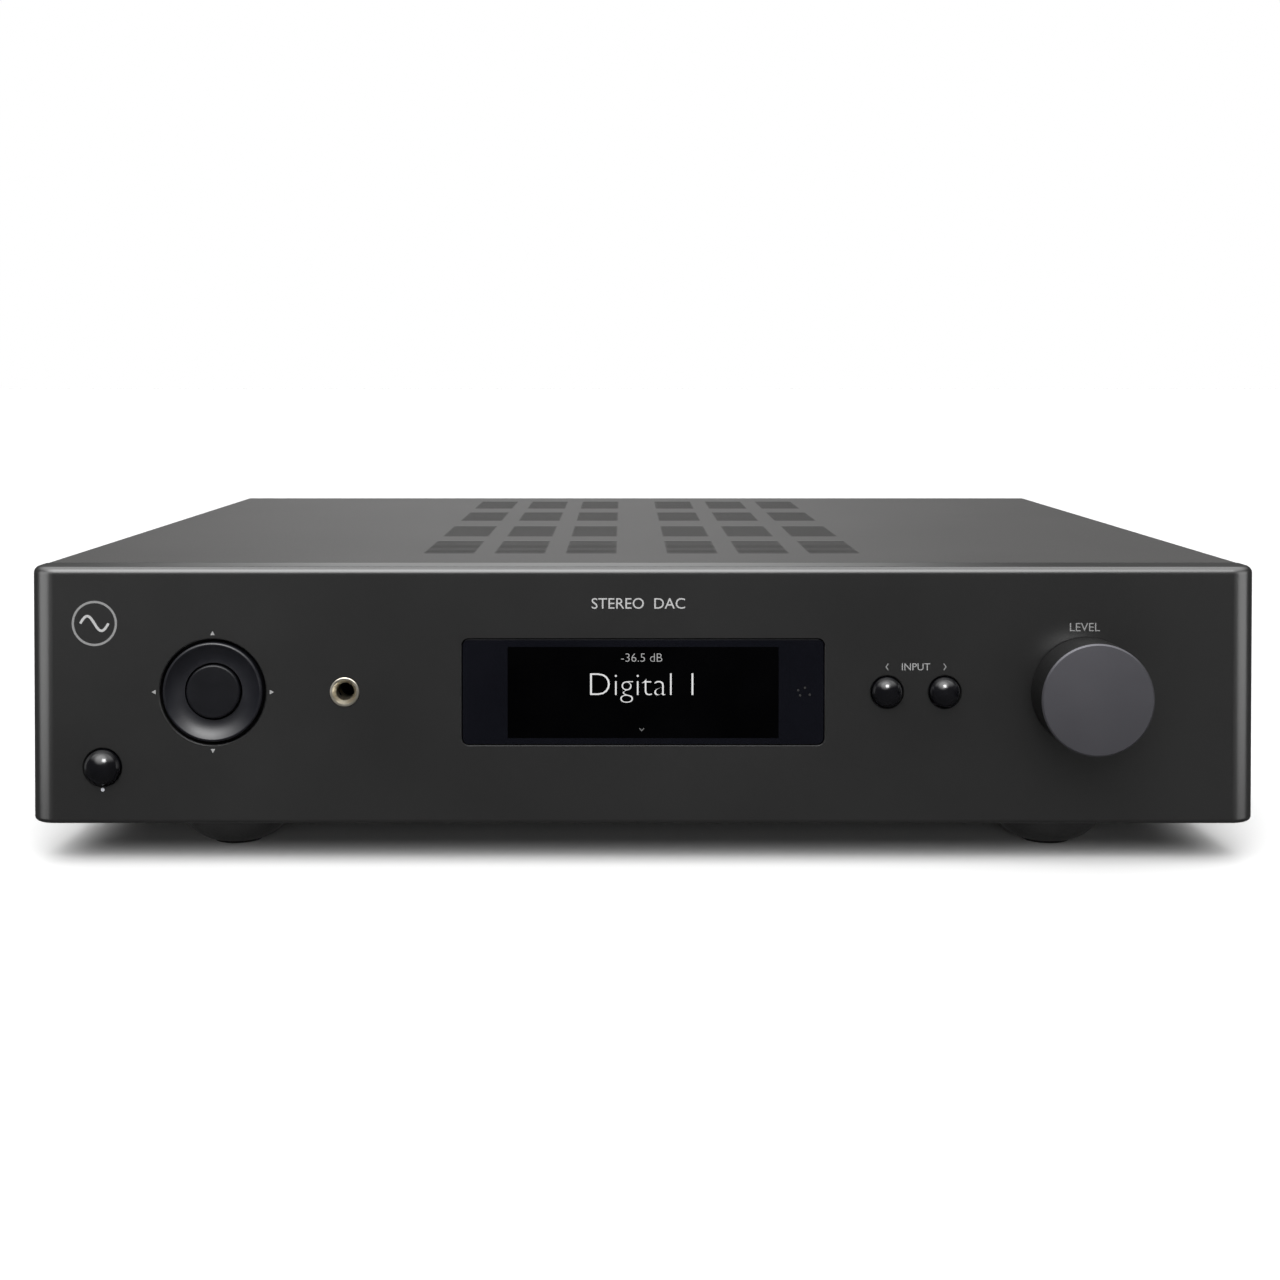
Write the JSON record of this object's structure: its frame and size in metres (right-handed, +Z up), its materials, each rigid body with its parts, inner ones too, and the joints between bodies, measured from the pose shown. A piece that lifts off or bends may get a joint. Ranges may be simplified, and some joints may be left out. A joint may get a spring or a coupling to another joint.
{
  "type": "desktop dac",
  "caption": "Full-width hi-fi streaming DAC and preamplifier: hollow black front plate with volume knob, rocking pad, push keys and display, vented steel cover, feet and back-panel sockets.",
  "frame": {"origin": "on the surface that the feet stand on, under the middle of the whole outline", "axes": "+Z up, -Y towards the front plate, +X to the right as seen from the front"},
  "size_m": [0.435, 0.405, 0.106],
  "materials": {
    "anodised_black": "bead-blasted, black anodised",
    "painted_black": "fine-textured satin black powder coat",
    "plated_steel": "zinc plated",
    "black_screws": "black zinc",
    "knob_grey": "fine satin, dark grey anodised",
    "gloss_black": "polished",
    "window_black": "polished, smoked",
    "clear_lens": "clear, frosted",
    "moulded_black": "fine moulded texture",
    "foot_grey": "moulded, satin",
    "pad_rubber": "matt",
    "gold_plate": "gold plated",
    "nickel_plate": "nickel plated",
    "phono_insert": "coloured insulator",
    "circuit_board": "solder mask",
    "component_black": "moulded epoxy",
    "capacitor_sleeve": "heat-shrink sleeve",
    "bare_aluminium": "as extruded",
    "ferrite": "ferrite core and taped bobbin",
    "cable_grey": "flexible insulation",
    "cable_black": "flexible insulation"
  },
  "bodies": {
    "chassis": {"fascia": "anodised_black", "front_sub_panel": "plated_steel", "chassis_tray": "painted_black", "rear_panel": "painted_black", "top_cover": "painted_black", "cover_screws": "black_screws", "machine_screws": "black_screws", "foot_front_left": "foot_grey", "foot_front_right": "foot_grey", "foot_rear_left": "foot_grey", "foot_rear_right": "foot_grey", "foot_pads": "pad_rubber", "display_window": "window_black", "display_module": "plated_steel", "standby_light_pipe": "clear_lens", "nav_bracket": "moulded_black", "left_control_board": "circuit_board", "right_control_board": "circuit_board", "tact_switches": "component_black", "headphone_jack": "moulded_black", "headphone_bush": "gold_plate", "encoder_body": "plated_steel", "encoder_nut": "nickel_plate", "main_board": "circuit_board", "board_components": "component_black", "network_module": "nickel_plate", "heatsinks": "bare_aluminium", "power_board": "circuit_board", "power_transformer": "ferrite", "bulk_capacitors": "capacitor_sleeve", "standoffs": "nickel_plate", "ribbon_cables": "cable_grey", "mains_harness": "cable_black", "mains_inlet": "moulded_black", "contact_pins": "nickel_plate", "rocker_housing": "moulded_black", "rca_blocks": "moulded_black", "rca_shells": "gold_plate", "rca_inserts": "phono_insert", "balanced_outputs": "moulded_black", "optical_sockets": "moulded_black", "network_socket": "nickel_plate", "usb_socket": "nickel_plate", "trigger_sockets": "moulded_black", "antenna_sockets": "gold_plate", "ground_post": "nickel_plate", "module_covers": "painted_black"},
    "volume_control": {"volume_knob": "knob_grey", "encoder_shaft": "plated_steel"},
    "standby_key": {"standby_button": "gloss_black"},
    "previous_key": {"previous_source_button": "gloss_black"},
    "next_key": {"next_source_button": "gloss_black"},
    "pad_carrier": {"nav_carrier": "moulded_black"},
    "pad_ring": {"nav_ring": "gloss_black"},
    "enter_key": {"enter_button": "gloss_black"},
    "power_rocker": {"mains_rocker": "gloss_black"},
    "lower_shutter": {"optical_shutter_lower": "moulded_black"},
    "upper_shutter": {"optical_shutter_upper": "moulded_black"},
    "earth_washer": {"ground_washer": "nickel_plate"},
    "earth_nut": {"ground_nut": "nickel_plate"}
  },
  "joints": [
    {"name": "volume_turn", "type": "hinge", "parent": "chassis", "child": "volume_control", "pos_m": [0.1565, -0.1935, 0.0618], "axis": [0, 1, 0], "continuous": true},
    {"name": "standby_press", "type": "slide", "parent": "chassis", "child": "standby_key", "axis": [0, 1, 0], "range_m": [0, 0.0008], "stiffness_N_per_m": 700, "springref_m": -0.0006},
    {"name": "previous_press", "type": "slide", "parent": "chassis", "child": "previous_key", "axis": [0, 1, 0], "range_m": [0, 0.0008], "stiffness_N_per_m": 700, "springref_m": -0.0006},
    {"name": "next_press", "type": "slide", "parent": "chassis", "child": "next_key", "axis": [0, 1, 0], "range_m": [0, 0.0008], "stiffness_N_per_m": 700, "springref_m": -0.0006},
    {"name": "enter_press", "type": "slide", "parent": "chassis", "child": "enter_key", "axis": [0, 1, 0], "range_m": [0, 0.0008], "stiffness_N_per_m": 700, "springref_m": -0.0006},
    {"name": "pad_up_down", "type": "hinge", "parent": "chassis", "child": "pad_carrier", "pos_m": [-0.1521, -0.174, 0.0618], "axis": [1, 0, 0], "range_deg": [-2.5, 2.5], "stiffness_Nm_per_rad": 0.25},
    {"name": "pad_left_right", "type": "hinge", "parent": "pad_carrier", "child": "pad_ring", "pos_m": [-0.1521, -0.174, 0.0618], "axis": [0, 0, 1], "range_deg": [-2.5, 2.5], "stiffness_Nm_per_rad": 0.25},
    {"name": "power_rock", "type": "hinge", "parent": "chassis", "child": "power_rocker", "pos_m": [-0.178, 0.1916, 0.077], "axis": [-1, 0, 0], "range_deg": [0, 20]},
    {"name": "lower_shutter_swing", "type": "hinge", "parent": "chassis", "child": "lower_shutter", "pos_m": [-0.058, 0.1909, 0.03955], "axis": [-1, 0, 0], "range_deg": [0, 80], "stiffness_Nm_per_rad": 0.0006, "springref_deg": -28.65},
    {"name": "upper_shutter_swing", "type": "hinge", "parent": "chassis", "child": "upper_shutter", "pos_m": [-0.058, 0.1909, 0.05855], "axis": [-1, 0, 0], "range_deg": [0, 80], "stiffness_Nm_per_rad": 0.0006, "springref_deg": -28.65},
    {"name": "earth_washer_slide", "type": "slide", "parent": "chassis", "child": "earth_washer", "axis": [0, 1, 0], "range_m": [0, 0.0014]},
    {"name": "earth_nut_turn", "type": "hinge", "parent": "earth_washer", "child": "earth_nut", "pos_m": [0.199, 0.1962, 0.058], "axis": [0, 1, 0], "range_deg": [0, 720]}
  ],
  "couplings": [
    {"joint": "earth_nut_turn", "follows": "earth_washer_slide", "rad_per_m": 8976}
  ]
}
